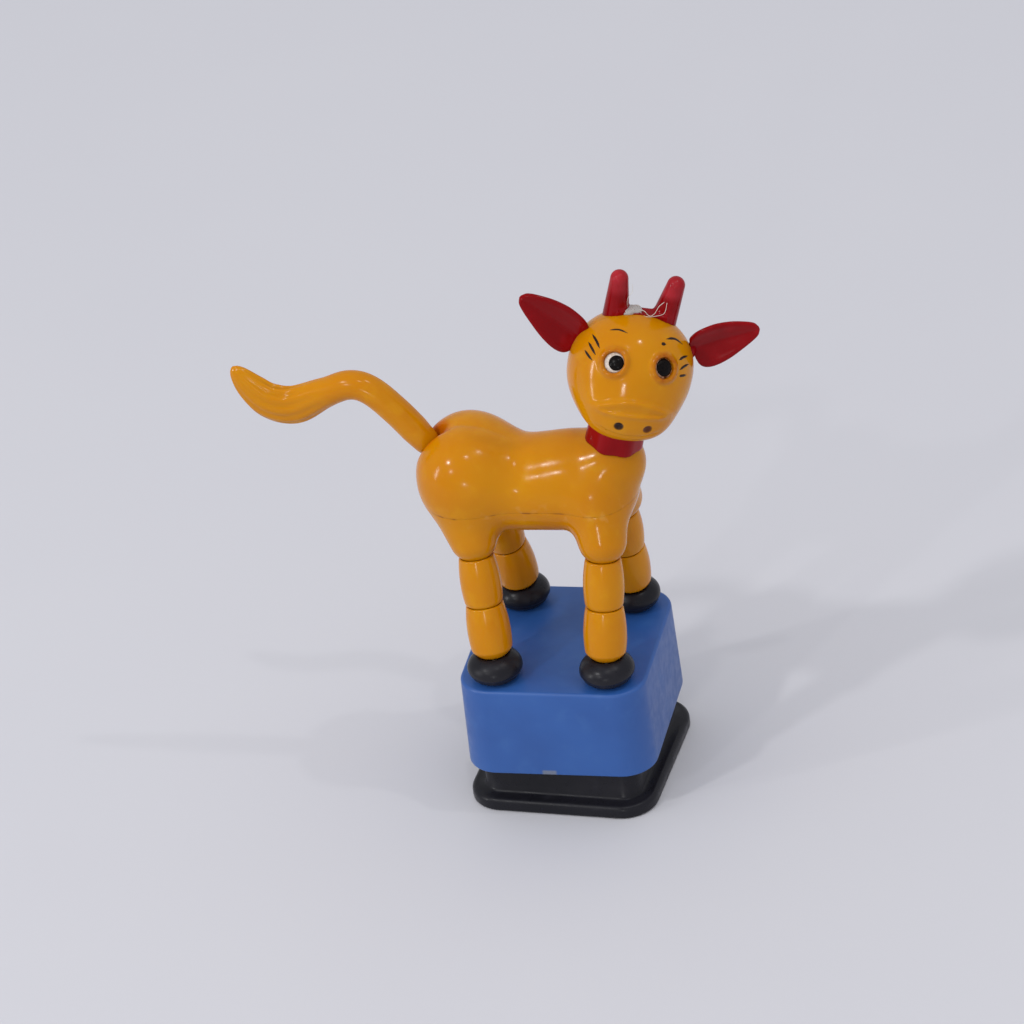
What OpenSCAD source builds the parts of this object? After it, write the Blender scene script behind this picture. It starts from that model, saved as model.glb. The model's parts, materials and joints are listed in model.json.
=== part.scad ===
// Push puppet: a strung calf that stands on a sprung base and goes limp when the button is pressed.
// Frame: origin in the middle of the resting face, X towards the animal's head end, Y to its left, Z up.

/* [Base box] */
// Side of the square base box
base_size = 30; // [28:0.5:36]
// Height of the base box
base_h = 15.4; // [14:0.2:20]
// Corner radius of the base box
base_corner_r = 5.25; // [4.5:0.25:7]
// Wall thickness of the base box
base_wall = 1.5; // [1:0.1:2]
// Thickness of the base box top
base_top_t = 2; // [1.2:0.1:3]
// Height of the base box's lower edge above the table
base_lift = 7.8; // [7.4:0.2:10]

/* [Push button] */
// Side of the button's square foot
flange_size = 30.3; // [28:0.1:36]
// Corner radius of the button's foot
flange_corner_r = 5.45; // [3:0.05:7]
// Thickness of the button's foot
flange_t = 2.2; // [1.6:0.1:2.4]
// Turn of the loose button inside the base
button_turn = -3.3; // [-3.4:0.1:3.4]
// Play between the button's skirt and the base wall
skirt_play = 0.75; // [0.7:0.05:1.2]
// Wall thickness of the skirt
skirt_wall = 0.9; // [0.7:0.05:1]
// Height of the skirt above the foot
skirt_h = 9; // [8.4:0.2:11]
// Thickness of the corner shelves that hold the strings
shelf_t = 1.5; // [1:0.1:2]

/* [Spring] */
// Wire diameter of the return spring
spring_wire = 0.8; // [0.6:0.05:1]
// Mean radius of the return spring
spring_r = 4; // [3.4:0.1:5]
// Number of turns of the return spring
spring_turns = 7; // [5:1:9]
// Length of the two bosses that centre the spring
spring_boss_h = 2.5; // [1.5:0.25:4]

/* [Strings] */
// Diameter of the string
string_d = 0.7; // [0.5:0.05:1]
// Diameter of the string holes
string_hole_d = 1.8; // [1.5:0.1:2.2]
// Diameter of the strings' holes in the button's shelves
shelf_hole_d = 1.2; // [1:0.05:1.5]
// Radius of the knots under the shelves
knot_r = 0.9; // [0.8:0.05:1]
// Radius of the knot on the head
head_knot_r = 1.2; // [1:0.05:1.4]

/* [Legs] */
// Distance of the front hooves from the front of the base box
front_hoof_inset = 6.1; // [5.6:0.1:7]
// Distance of the hind hooves from the back of the base box
hind_hoof_inset = 6; // [5.6:0.1:7]
// Distance of the hooves from the sides of the base box
side_hoof_inset = 4.7; // [4.6:0.1:5.6]
// Widest radius of a hoof
hoof_r = 4.35; // [4:0.05:4.8]
// Radius of the flat that a hoof stands on
hoof_flat_r = 2.7; // [2:0.1:3]
// Height of a hoof
hoof_h = 4.7; // [4.4:0.1:5.4]
// Height of the ankle above the base box
ankle_h = 3.4; // [3.2:0.1:3.8]
// Length of one leg bead from its rounded end to the next one's
leg_pitch = 8.2; // [7.6:0.1:9]
// Widest radius of a lower leg bead
lower_leg_r = 3.4; // [3.2:0.05:3.6]
// Widest radius of an upper leg bead
upper_leg_r = 3.2; // [3:0.05:3.4]
// Radius of the rounded bead ends at ankle, knee and hip
ball_r = 3.8; // [3.7:0.05:4.2]
// Clearance between a rounded end and its cup
joint_gap = 0.15; // [0.1:0.01:0.2]
// How far a leg leans in from ankle to hip
leg_lean_in = 3.4; // [2.6:0.1:4]
// How far a hind leg leans back from ankle to hip
hind_lean = 1.5; // [0:0.1:2]
// How far a front leg leans forward from ankle to hip
front_lean = 0.6; // [0:0.1:2]

/* [Body] */
// Place of the rump's centre along the body
rump_x = -11.3; // [-12:0.1:-10.5]
// Height of the rump's centre
rump_z = 55.6; // [55:0.1:56.5]
// Radius of the rump
rump_r = 8.5; // [8:0.1:9]
// Place of the chest's centre along the body
chest_x = 7.8; // [7.4:0.1:8.6]
// Radius of the chest
chest_r = 7; // [6.8:0.1:7.4]
// Height of the middle line of belly and chest
belly_z = 53.3; // [53:0.1:53.8]
// Radius of the belly
belly_r = 7.4; // [7.2:0.1:7.8]
// Height of the seam between the two body halves
seam_z = 51.9; // [51.4:0.1:52.4]
// Wall thickness of the hollow body and head
shell_wall = 1.4; // [1.1:0.1:1.6]
// Radius of a hind thigh where it joins the rump
hind_thigh_r = 6.4; // [6:0.1:6.8]
// Radius of a front thigh where it joins the chest
front_thigh_r = 5.6; // [5.2:0.1:6]

/* [Neck] */
// Place of the collar's lower edge along the body
collar_x = 11.6; // [11:0.1:12]
// Height of the middle of the collar's lower edge
collar_z = 60.2; // [59.8:0.1:60.8]
// Forward lean of the neck
neck_lean = 17; // [12:0.5:20]
// Radius of the collar
collar_r = 4.6; // [4.4:0.05:4.8]
// Radius of the neck dome that the collar slides on
neck_dome_r = 5.8; // [5.5:0.1:6.4]

/* [Head] */
// Height of the head's centre above the collar's lower edge
head_rise = 13.9; // [13.4:0.1:14.6]
// Radius of the head
head_r = 9.6; // [9.2:0.1:10]
// Turn of the head towards its right
head_turn = 75; // [0:1:90]
// Radius of the muzzle
muzzle_r = 4.7; // [4.3:0.1:5.2]
// Half width of the muzzle
muzzle_half_w = 6.1; // [5.6:0.1:6.8]
// Distance of the muzzle's axis ahead of the head's centre
muzzle_x = 6.2; // [5.6:0.1:6.8]
// Distance of the muzzle's axis below the head's centre
muzzle_drop = 3.8; // [3.4:0.1:4.4]
// Place of the parting plane between face and back of the head
parting_x = -1.2; // [-2:0.1:-0.8]
// Length of an ear
ear_len = 11.1; // [10:0.1:12]
// Width of an ear
ear_w = 7; // [6.4:0.1:8]
// Thickness of an ear
ear_t = 1.1; // [0.9:0.1:1.4]
// Diameter of the peg that holds an ear
ear_peg_d = 2.6; // [2.4:0.1:3]
// Height of the ear pegs above the head's centre
ear_z = 4.2; // [3.6:0.1:4.8]
// Rise of the ears from the level
ear_rise = 29; // [20:1:35]
// Length of a horn
horn_len = 7.7; // [7:0.1:9]
// Radius of a horn at its foot
horn_r = 2.15; // [1.9:0.05:2.4]
// Radius of a horn's tip
horn_tip_r = 1.4; // [1.2:0.05:1.6]
// Distance of a horn from the middle of the head
horn_y = 3.8; // [3.6:0.1:4.4]
// Outward lean of a horn
horn_lean = 5; // [0:0.5:8]

/* [Tail] */
// Radius of the tail's stem
tail_r = 2.1; // [1.9:0.05:2.3]
// Half height of the tuft
tuft_half_h = 3.1; // [2.6:0.1:3.6]
// Half thickness of the tuft
tuft_half_t = 1.7; // [1.4:0.1:2]
// Radius of the ball at the tail's root
tail_ball_r = 2.3; // [2.1:0.05:2.6]
// Clearance of the tail's ball in its socket
tail_gap = 0.2; // [0.15:0.01:0.3]

/* [Hidden] */
$fn = 64;

// Colours of the moulded plastics and the metal
yellow = [0.9, 0.6, 0.1];
blue = [0.2, 0.38, 0.7];
black = [0.1, 0.1, 0.12];
red = [0.6, 0.08, 0.1];
white = [0.9, 0.9, 0.85];
steel = [0.7, 0.7, 0.72];

// A hair of overlap that keeps cuts clean
eps = 0.05;
// Clearance of pieces that are seated in each other for good
seat_gap = 0.04;
// Gap that keeps a string's end clear of the next piece
string_end_gap = 0.25;

// Base and button
base_top_z = base_lift + base_h;
ceiling_z = base_top_z - base_top_t;
cavity_size = base_size - 2 * base_wall;
cavity_corner_r = base_corner_r - base_wall;
skirt_size = cavity_size - 2 * skirt_play;
skirt_corner_r = cavity_corner_r - skirt_play;
skirt_top_z = flange_t + skirt_h;
shelf_z = skirt_top_z - shelf_t;
shelf_reach = 3;
knot_z = shelf_z - knot_r - seat_gap;
spring_boss_play = 0.35;
spring_boss_r = spring_r - spring_wire / 2 - spring_boss_play;

// The spring's coil
spring_rings = 8;
spring_sides = 6;
spring_low_z = flange_t + spring_wire / 2 + eps;
spring_high_z = ceiling_z - spring_wire / 2 - eps;
spring_pitch = (spring_high_z - spring_low_z) / spring_turns;

// Legs in the order front left, front right, hind left, hind right
FL = 0;
FR = 1;
HL = 2;
HR = 3;
function is_front(leg) = leg < HL;
function side(leg) = leg % 2 == 0 ? 1 : -1;
function hoof_at(leg) = [is_front(leg) ? base_size / 2 - front_hoof_inset : hind_hoof_inset - base_size / 2,
    side(leg) * (base_size / 2 - side_hoof_inset), base_top_z];
function leg_lean(leg) = is_front(leg) ? front_lean : -hind_lean;
leg_len = 2 * leg_pitch;
function leg_rise(leg) = sqrt(leg_len * leg_len - leg_lean(leg) * leg_lean(leg) - leg_lean_in * leg_lean_in);
function leg_dir(leg) = [leg_lean(leg), -side(leg) * leg_lean_in, leg_rise(leg)] / leg_len;
function ankle_at(leg) = hoof_at(leg) + [0, 0, ankle_h];
function along_leg(leg, s) = ankle_at(leg) + s * leg_dir(leg);
function hip_centre(leg) = along_leg(leg, leg_len + ball_r);
// Middle of each thigh's upper end, from the chest or the rump and the seam
front_thigh_from_chest = [0.9, 2.3, 0.4];
hind_thigh_from_rump = [-0.5, 2.5, 0.8];
thigh_hollow_share = 0.35;
function thigh_centre(leg) = let (d = is_front(leg) ? front_thigh_from_chest : hind_thigh_from_rump)
    [(is_front(leg) ? chest_x : rump_x) + d[0], side(leg) * d[1], seam_z + d[2]];
function thigh_r(leg) = is_front(leg) ? front_thigh_r : hind_thigh_r;

// Outline of a leg bead, from its rounded end to the rim of its cup
bead_rim = 0.45;
bead_low_share = 0.86;
bead_high_share = 0.88;
function cup_depth(r) = ball_r - sqrt(pow(ball_r + joint_gap, 2) - r * r);
function bead_crest_r(belly) = belly * bead_high_share - bead_rim;
function bead_top(belly) = leg_pitch + cup_depth(bead_crest_r(belly));
function bead_r(belly, t) = belly * (1 - (t < 0 ? 1 - bead_low_share : 1 - bead_high_share) * t * t);

// Torso: a level barrel from belly to chest, and the rump behind it
rump_overlap_share = 0.4;
belly_x = rump_x + rump_overlap_share * rump_r;
barrel_len = chest_x - belly_x;
function barrel_r(s) = belly_r + (chest_r - belly_r) * (1 - cos(180 * s / barrel_len)) / 2;
function barrel_outline(inset) = concat(
    [for (a = [-90:15:0]) [(belly_r - inset) * cos(a), (belly_r - inset) * sin(a)]],
    [for (i = [1:5]) [barrel_r(barrel_len * i / 6) - inset, barrel_len * i / 6]],
    [for (a = [0:15:90]) [(chest_r - inset) * cos(a), barrel_len + (chest_r - inset) * sin(a)]]);

// Neck and head
neck_dir = [sin(neck_lean), 0, cos(neck_lean)];
collar_at = [collar_x, 0, collar_z];
neck_dome_drop = sqrt(neck_dome_r * neck_dome_r - collar_r * collar_r);
neck_dome_at = collar_at - neck_dome_drop * neck_dir;
head_at = collar_at + head_rise * neck_dir;
collar_taper = 0.3;
collar_top_r = collar_r - collar_taper;
collar_round = 0.5;
collar_h = head_rise - sqrt(pow(head_r + joint_gap, 2) - pow(collar_top_r - collar_round, 2));
horn_x = -3;
bridge_h = 1.6;
bridge_t = 4;
horn_sink = 1.4;
ear_bowl_r = 12;
ear_peg_len = 3.6;
ear_stand_off = 0.5;
ear_overlap = 1.5;
ear_y = sqrt(head_r * head_r - parting_x * parting_x - ear_z * ear_z);
ear_bowl_x = sqrt(pow(ear_bowl_r + ear_t / 2, 2) - pow(ear_len / 2 - ear_overlap, 2));
horn_peg_r = 1;
horn_foot_z = sqrt(head_r * head_r - horn_x * horn_x - horn_y * horn_y);
// The head's string runs straight from the neck to the bridge between the horns
head_string_in = [0, 0, -head_r];
head_string_dir = [horn_x, 0, 2 * head_r] / norm([horn_x, 0, 2 * head_r]);
head_string_len = head_r * head_string_dir[2]
    + sqrt(pow(head_r * head_string_dir[2], 2) - head_r * head_r + pow(head_r + bridge_h, 2));

// Tail: the middle line of the stem and tuft, in the plane of symmetry
tail_root = [-18, 0, 60];
tail_line = [tail_root, [-21.9, 0, 65.4], [-25.6, 0, 69.3], [-29, 0, 70.2], [-33.2, 0, 68.5],
    [-38.2, 0, 66.2], [-41.8, 0, 66.8], [-44.6, 0, 69.2], [-47.3, 0, 73]];
tail_steps = 3;
tail_sides = 12;
tail_rings = (len(tail_line) - 1) * tail_steps + 1;

// Turns the Z axis into direction d
module point_along(d) {
    rotate([-asin(d[1] / norm(d)), atan2(d[0], d[2]), 0]) children();
}

// A straight round rod between two points
module rod(a, b, d) {
    translate(a) point_along(b - a) cylinder(d = d, h = norm(b - a));
}

// A turned limb: two round ends and the cone that touches both
limb_steps = 8;
module limb(a, ra, b, rb) {
    gap = norm(b - a);
    lean = asin((ra - rb) / gap);
    translate(a) point_along(b - a) rotate_extrude() polygon(concat(
        [for (i = [0:limb_steps]) let (t = -90 + (90 + lean) * i / limb_steps) [ra * cos(t), ra * sin(t)]],
        [for (i = [0:limb_steps]) let (t = lean + (90 - lean) * i / limb_steps)
            [rb * cos(t), gap + rb * sin(t)]]));
}

module rounded_square(size, r) {
    square([size - 2 * r, size], center = true);
    square([size, size - 2 * r], center = true);
    for (x = [-1, 1]) for (y = [-1, 1]) translate([x, y] * (size / 2 - r)) circle(r);
}

// Side faces and end caps of a tube of rings
function tube_faces(rings, sides) = concat(
    [for (j = [1:sides - 2]) [0, j, j + 1]],
    [for (i = [0:rings - 2]) for (j = [0:sides - 1]) let (k = (j + 1) % sides)
        each [[i * sides + j, (i + 1) * sides + j, i * sides + k],
            [i * sides + k, (i + 1) * sides + j, (i + 1) * sides + k]]],
    [for (j = [1:sides - 2]) [0, j + 1, j] + (rings - 1) * sides * [1, 1, 1]]);

module base_box() color(blue) {
    difference() {
        translate([0, 0, base_lift]) linear_extrude(base_h) rounded_square(base_size, base_corner_r);
        translate([0, 0, base_lift - 1]) linear_extrude(ceiling_z - base_lift + 1)
            rounded_square(cavity_size, cavity_corner_r);
        for (leg = [FL:HR]) translate(hoof_at(leg) - [0, 0, base_top_t + 1])
            cylinder(d = string_hole_d, h = base_top_t + 2);
    }
    translate([0, 0, ceiling_z - spring_boss_h]) cylinder(r = spring_boss_r, h = spring_boss_h + eps);
}

module push_button() color(black) difference() {
    rotate([0, 0, button_turn]) {
        linear_extrude(flange_t) rounded_square(flange_size, flange_corner_r);
        difference() {
            linear_extrude(skirt_top_z) rounded_square(skirt_size, skirt_corner_r);
            translate([0, 0, flange_t]) linear_extrude(skirt_h + 1)
                rounded_square(skirt_size - 2 * skirt_wall, skirt_corner_r - skirt_wall);
        }
        intersection() {
            translate([0, 0, shelf_z]) linear_extrude(shelf_t) rounded_square(skirt_size, skirt_corner_r);
            for (leg = [FL:HR]) translate([hoof_at(leg)[0], hoof_at(leg)[1], shelf_z - eps])
                translate([is_front(leg) ? -shelf_reach : -skirt_size,
                    side(leg) > 0 ? -shelf_reach : -skirt_size, 0])
                    cube([skirt_size + shelf_reach, skirt_size + shelf_reach, shelf_t + 2 * eps]);
        }
        cylinder(r = spring_boss_r, h = flange_t + spring_boss_h);
    }
    for (leg = [FL:HR]) translate([hoof_at(leg)[0], hoof_at(leg)[1], shelf_z - 1])
        cylinder(d = shelf_hole_d, h = shelf_t + 2);
}

// Points of the spring's coil: ring i, side j
function spring_ring(i) = let (turn = i / spring_rings, a = 360 * turn, z = spring_low_z + spring_pitch * turn)
    [for (j = [0:spring_sides - 1]) let (b = 360 * j / spring_sides, r = spring_r + spring_wire / 2 * cos(b))
        [r * cos(a), r * sin(a), z + spring_wire / 2 * sin(b)]];
// Least gap between neighbouring turns, measured on points one turn apart
spring_gap = min([for (i = [0:spring_rings]) for (p = spring_ring(i)) for (q = spring_ring(i + spring_rings))
    norm(p - q)]);

module coil_spring() color(steel) {
    echo(spring_gap = spring_gap);
    rings = spring_turns * spring_rings + 1;
    polyhedron([for (i = [0:rings - 1]) each spring_ring(i)], tube_faces(rings, spring_sides));
}

module base_strings() color(white)
    for (leg = [FL:HR]) let (p = hoof_at(leg))
        rod([p[0], p[1], knot_z + knot_r + seat_gap], [p[0], p[1], base_top_z - string_end_gap], string_d);

module string_knots() color(white)
    for (leg = [FL:HR]) translate([hoof_at(leg)[0], hoof_at(leg)[1], knot_z]) sphere(knot_r);

// Oblate hoof with a flat under it and a cup for the leg on top
module hoof(leg) color(black) difference() {
    cut = sqrt(1 - pow(hoof_flat_r / hoof_r, 2));
    half_h = hoof_h / (1 + cut);
    start = -asin(cut);
    translate(hoof_at(leg)) rotate_extrude()
        polygon(concat([[0, 0]], [for (i = [0:16]) let (a = start + (90 - start) * i / 16)
            [hoof_r * cos(a), half_h * (cut + sin(a))]]));
    translate(along_leg(leg, ball_r)) sphere(ball_r + joint_gap);
    translate(hoof_at(leg) - [0, 0, 1]) cylinder(d = string_hole_d, h = hoof_h + 2);
}

// Barrel bead with one rounded end and one cupped end
module leg_bead(leg, start, belly) {
    top = bead_top(belly);
    middle = top / 2;
    translate(along_leg(leg, start)) point_along(leg_dir(leg)) difference() {
        intersection() {
            rotate_extrude() polygon(concat([[0, 0]],
                [for (i = [0:16]) let (t = i / 8 - 1)
                    [bead_r(belly, t), middle + (middle - bead_rim * (t > 0 ? 1 : 0)) * t]],
                [for (a = [15:15:90])
                    [bead_crest_r(belly) + bead_rim * cos(a), top - bead_rim * (1 - sin(a))]],
                [[0, top]]));
            union() {
                translate([0, 0, ball_r]) sphere(ball_r);
                translate([0, 0, ball_r]) cylinder(r = 2 * belly, h = top);
            }
        }
        translate([0, 0, leg_pitch + ball_r]) sphere(ball_r + joint_gap);
        translate([0, 0, -1]) cylinder(d = string_hole_d, h = top + 2);
    }
}

module lower_leg(leg) color(yellow) leg_bead(leg, 0, lower_leg_r);
module upper_leg(leg) color(yellow) leg_bead(leg, leg_pitch, upper_leg_r);

// Stretch of string inside a hoof, a lower bead and an upper bead
module hoof_string(leg) color(white)
    rod(hoof_at(leg) + [0, 0, string_end_gap], ankle_at(leg) - [0, 0, string_end_gap + joint_gap], string_d);
module leg_string(leg, start) color(white)
    rod(along_leg(leg, start + string_end_gap), along_leg(leg, start + leg_pitch - string_end_gap - joint_gap),
        string_d);

module torso(inset) {
    translate([belly_x, 0, belly_z]) rotate([0, 90, 0]) rotate_extrude() polygon(barrel_outline(inset));
    translate([rump_x, 0, rump_z]) sphere(rump_r - inset);
}

// Everything above or below the seam
module above_seam() {
    reach = 4 * base_size;
    translate([-reach / 2, -reach / 2, seam_z]) cube(reach);
}

module tail_socket() {
    translate(tail_root) sphere(tail_ball_r + tail_gap);
}

module body_lower() color(yellow) difference() {
    union() {
        torso(0);
        for (leg = [FL:HR]) limb(hip_centre(leg), ball_r, thigh_centre(leg), thigh_r(leg));
    }
    above_seam();
    torso(shell_wall);
    for (leg = [FL:HR]) {
        hollow_at = hip_centre(leg) + thigh_hollow_share * (thigh_centre(leg) - hip_centre(leg));
        limb(hollow_at, ball_r - shell_wall, thigh_centre(leg), thigh_r(leg) - shell_wall);
        rod(along_leg(leg, leg_len - 1), hip_centre(leg) + leg_dir(leg), string_hole_d);
    }
}

module body_upper() color(yellow) difference() {
    intersection() {
        union() {
            torso(0);
            translate(neck_dome_at) sphere(neck_dome_r);
            for (leg = [FL:HR]) translate(thigh_centre(leg)) sphere(thigh_r(leg));
        }
        above_seam();
    }
    torso(shell_wall);
    translate(neck_dome_at) sphere(neck_dome_r - shell_wall);
    for (leg = [FL:HR]) translate(thigh_centre(leg)) sphere(thigh_r(leg) - shell_wall);
    rod(neck_dome_at, neck_dome_at + 2 * neck_dome_r * neck_dir, string_hole_d);
    tail_socket();
}

// Strings from the hips to the neck in front and to the tail behind, a little apart at their ends
string_bend_share = 1.2;
string_end_share = 0.9;
module body_strings() color(white)
    for (leg = [FL:HR]) {
        start = along_leg(leg, leg_len + string_end_gap);
        bend = hip_centre(leg) + leg_dir(leg);
        finish = is_front(leg) ? neck_dome_at + (neck_dome_r - shell_wall) * neck_dir
            : tail_root + [tail_ball_r + tail_gap + 2 * string_d, 0, -tail_ball_r];
        end = finish + [0, side(leg) * string_end_share * string_d, 0];
        rod(start, bend, string_d);
        translate(bend) sphere(d = string_bend_share * string_d);
        rod(bend, end, string_d);
    }

// Smooth curve through the tail's points
function tail_key(i) = tail_line[max(0, min(len(tail_line) - 1, i))];
function tail_at(s) = let (i = min(floor(s), len(tail_line) - 2), t = s - i,
    a = tail_key(i - 1), b = tail_key(i), c = tail_key(i + 1), d = tail_key(i + 2))
    b + t * (c - a) / 2 + t * t * (a - 2.5 * b + 2 * c - d / 2) + t * t * t * (1.5 * b - 1.5 * c + (d - a) / 2);
function tail_dir(s) = let (v = tail_at(s + 0.05) - tail_at(s - 0.05)) v / norm(v);
// Taper to the root, share of the way from stem to tuft, and taper to the tip
tail_root_share = 0.8;
tuft_from = 3.6;
tuft_over = 1.6;
tip_from = 5.4;
tip_floor = 0.02;
function root_share(s) = tail_root_share + (1 - tail_root_share) * min(1, s);
function tuft_share(s) = let (t = max(0, min(1, (s - tuft_from) / tuft_over))) t * t * (3 - 2 * t);
function tip_share(s) = let (t = max(0, s - tip_from) / (len(tail_line) - 1 - tip_from))
    sqrt(max(tip_floor, 1 - t * t));
function tail_ring(i) = let (s = i / tail_steps, v = tail_dir(s), n = [v[2], 0, -v[0]],
    h = (tail_r + (tuft_half_h - tail_r) * tuft_share(s)) * root_share(s) * tip_share(s),
    w = (tail_r + (tuft_half_t - tail_r) * tuft_share(s)) * root_share(s) * tip_share(s))
    [for (j = [0:tail_sides - 1]) let (a = 360 * j / tail_sides)
        tail_at(s) + h * cos(a) * n + [0, w * sin(a), 0]];

module tail() color(yellow) {
    translate(tail_root) sphere(tail_ball_r);
    polyhedron([for (i = [0:tail_rings - 1]) each tail_ring(i)], tube_faces(tail_rings, tail_sides));
}

// Places things in the neck's frame, with Z along the neck from the collar's lower edge
module on_neck() {
    translate(collar_at) rotate([0, neck_lean, 0]) children();
}

module neck_collar() color(red) on_neck() difference() {
    rotate_extrude() polygon(concat([[0, 0]],
        [for (a = [-90:15:0])
            [collar_r - collar_round + collar_round * cos(a), collar_round + collar_round * sin(a)]],
        [for (a = [0:15:90]) [collar_top_r - collar_round + collar_round * cos(a),
            collar_h - collar_round + collar_round * sin(a)]],
        [[0, collar_h]]));
    translate([0, 0, -neck_dome_drop]) sphere(neck_dome_r + joint_gap);
    translate([0, 0, head_rise]) sphere(head_r + joint_gap);
    translate([0, 0, -1]) cylinder(d = string_hole_d, h = collar_h + 2);
}

module neck_string() color(white) on_neck()
    rod([0, 0, neck_dome_r - neck_dome_drop + joint_gap + string_end_gap],
        [0, 0, head_rise - head_r - joint_gap - string_end_gap], string_d);

// Places things in the head's frame: X to the face, Y to its left, Z along the neck
module on_head() {
    translate(head_at) rotate([0, neck_lean, 0]) rotate([0, 0, -head_turn]) children();
}

// Skull and muzzle, drawn in by an inset
module head_form(inset) {
    sphere(head_r - inset);
    end_r = muzzle_r - inset;
    limb_len = muzzle_half_w - muzzle_r;
    translate([muzzle_x, 0, -muzzle_drop]) rotate([90, 0, 0]) {
        cylinder(r = end_r, h = 2 * limb_len, center = true);
        for (z = [-limb_len, limb_len]) translate([0, 0, z]) sphere(end_r);
    }
}

// Places things at the root of the left ear: Y outward along the ear, X to the face
module on_ear() {
    translate([parting_x, ear_y, ear_z]) rotate([ear_rise, 0, 0]) children();
}

module ear_peg(play) {
    on_ear() translate([0, -ear_peg_len - play, 0]) rotate([-90, 0, 0])
        cylinder(d = ear_peg_d + 2 * play, h = ear_peg_len + ear_stand_off + ear_overlap);
}

// Half width of the ear's leaf at a share of its length: widest near its blunt root
leaf_skew = 0.5;
leaf_blunt = 0.6;
function leaf_half_w(t) = ear_w / 2 * pow(sin(180 * pow(t, leaf_skew)), leaf_blunt);
leaf_points = 20;
function leaf_point(t, side_sign) = [ear_stand_off + ear_len * t, side_sign * leaf_half_w(t)];
leaf_outline = concat([for (i = [0:leaf_points]) leaf_point(i / leaf_points, 1)],
    [for (i = [leaf_points - 1:-1:1]) leaf_point(i / leaf_points, -1)]);

// Left ear in the head's frame: a leaf cut from a shallow bowl, on a round peg
module ear_form() {
    on_ear() intersection() {
        rotate([90, 0, 90]) linear_extrude(ear_len, center = true) polygon(leaf_outline);
        translate([ear_bowl_x, ear_stand_off + ear_len / 2, 0]) difference() {
            sphere(ear_bowl_r + ear_t);
            sphere(ear_bowl_r);
        }
    }
    ear_peg(0);
}

module ear_left() color(red) on_head() ear_form();
module ear_right() color(red) on_head() mirror([0, 1, 0]) ear_form();

// Places things on the foot of a horn, with Z along the horn
module on_horn(side_sign) {
    translate([horn_x, side_sign * horn_y, horn_foot_z]) rotate([-side_sign * horn_lean, 0, 0]) children();
}

module horn_peg(side_sign, play) {
    on_horn(side_sign) translate([0, 0, -horn_sink - shell_wall - play])
        cylinder(r = horn_peg_r + play, h = horn_sink + shell_wall + play);
}

module string_bore() {
    run_out = 2 * bridge_h;
    rod(head_string_in - run_out * head_string_dir,
        head_string_in + (head_string_len + run_out) * head_string_dir, string_hole_d);
}

module horns() color(red) on_head() {
    difference() {
        union() {
            for (s = [-1, 1]) on_horn(s)
                limb([0, 0, -horn_sink], horn_r, [0, 0, horn_len - horn_tip_r], horn_tip_r);
            intersection() {
                sphere(head_r + bridge_h);
                translate([horn_x - bridge_t / 2, -horn_y, 0]) cube([bridge_t, 2 * horn_y, 2 * head_r]);
            }
        }
        sphere(head_r + seat_gap);
        string_bore();
    }
    for (s = [-1, 1]) horn_peg(s, 0);
}

// Hollow head with the holes for string, ears and horns
module head_shell() {
    difference() {
        head_form(0);
        head_form(shell_wall);
        string_bore();
        ear_peg(seat_gap);
        mirror([0, 1, 0]) ear_peg(seat_gap);
        for (s = [-1, 1]) horn_peg(s, seat_gap);
    }
}

// Everything behind the parting plane of the head
module behind_parting() {
    translate([parting_x - 4 * head_r, -2 * head_r, -2 * head_r]) cube(4 * head_r);
}

module head_front() color(yellow) on_head() difference() {
    head_shell();
    behind_parting();
}

module head_back() color(yellow) on_head() intersection() {
    head_shell();
    behind_parting();
}

// String through the head, knotted on the bridge between the horns
module head_string() color(white) on_head() {
    knot_at = head_string_in + (head_string_len + head_knot_r + seat_gap) * head_string_dir;
    rod(head_string_in + string_end_gap * head_string_dir, knot_at, string_d);
    translate(knot_at) sphere(head_knot_r);
}

base_box();
push_button();
coil_spring();
base_strings();
string_knots();
hoof(FL);  // hoof_front_left
hoof(FR);  // hoof_front_right
hoof(HL);  // hoof_hind_left
hoof(HR);  // hoof_hind_right
lower_leg(FL);  // lower_leg_front_left
lower_leg(FR);  // lower_leg_front_right
lower_leg(HL);  // lower_leg_hind_left
lower_leg(HR);  // lower_leg_hind_right
upper_leg(FL);  // upper_leg_front_left
upper_leg(FR);  // upper_leg_front_right
upper_leg(HL);  // upper_leg_hind_left
upper_leg(HR);  // upper_leg_hind_right
hoof_string(FL);  // hoof_string_front_left
hoof_string(FR);  // hoof_string_front_right
hoof_string(HL);  // hoof_string_hind_left
hoof_string(HR);  // hoof_string_hind_right
leg_string(FL, 0);  // lower_string_front_left
leg_string(FR, 0);  // lower_string_front_right
leg_string(HL, 0);  // lower_string_hind_left
leg_string(HR, 0);  // lower_string_hind_right
leg_string(FL, leg_pitch);  // upper_string_front_left
leg_string(FR, leg_pitch);  // upper_string_front_right
leg_string(HL, leg_pitch);  // upper_string_hind_left
leg_string(HR, leg_pitch);  // upper_string_hind_right
body_lower();
body_upper();
body_strings();
tail();
neck_collar();
neck_string();
head_front();
head_back();
head_string();
horns();
ear_left();
ear_right();
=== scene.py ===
"""Looks of the push puppet: a strung calf of moulded beads on a sprung base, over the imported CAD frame.

Lengths are in millimetres in the row's frame until a mesh is made, which is in metres.
"""

import json
import math

import bmesh
import bpy
import numpy as np
from mathutils import Matrix, Vector


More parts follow.
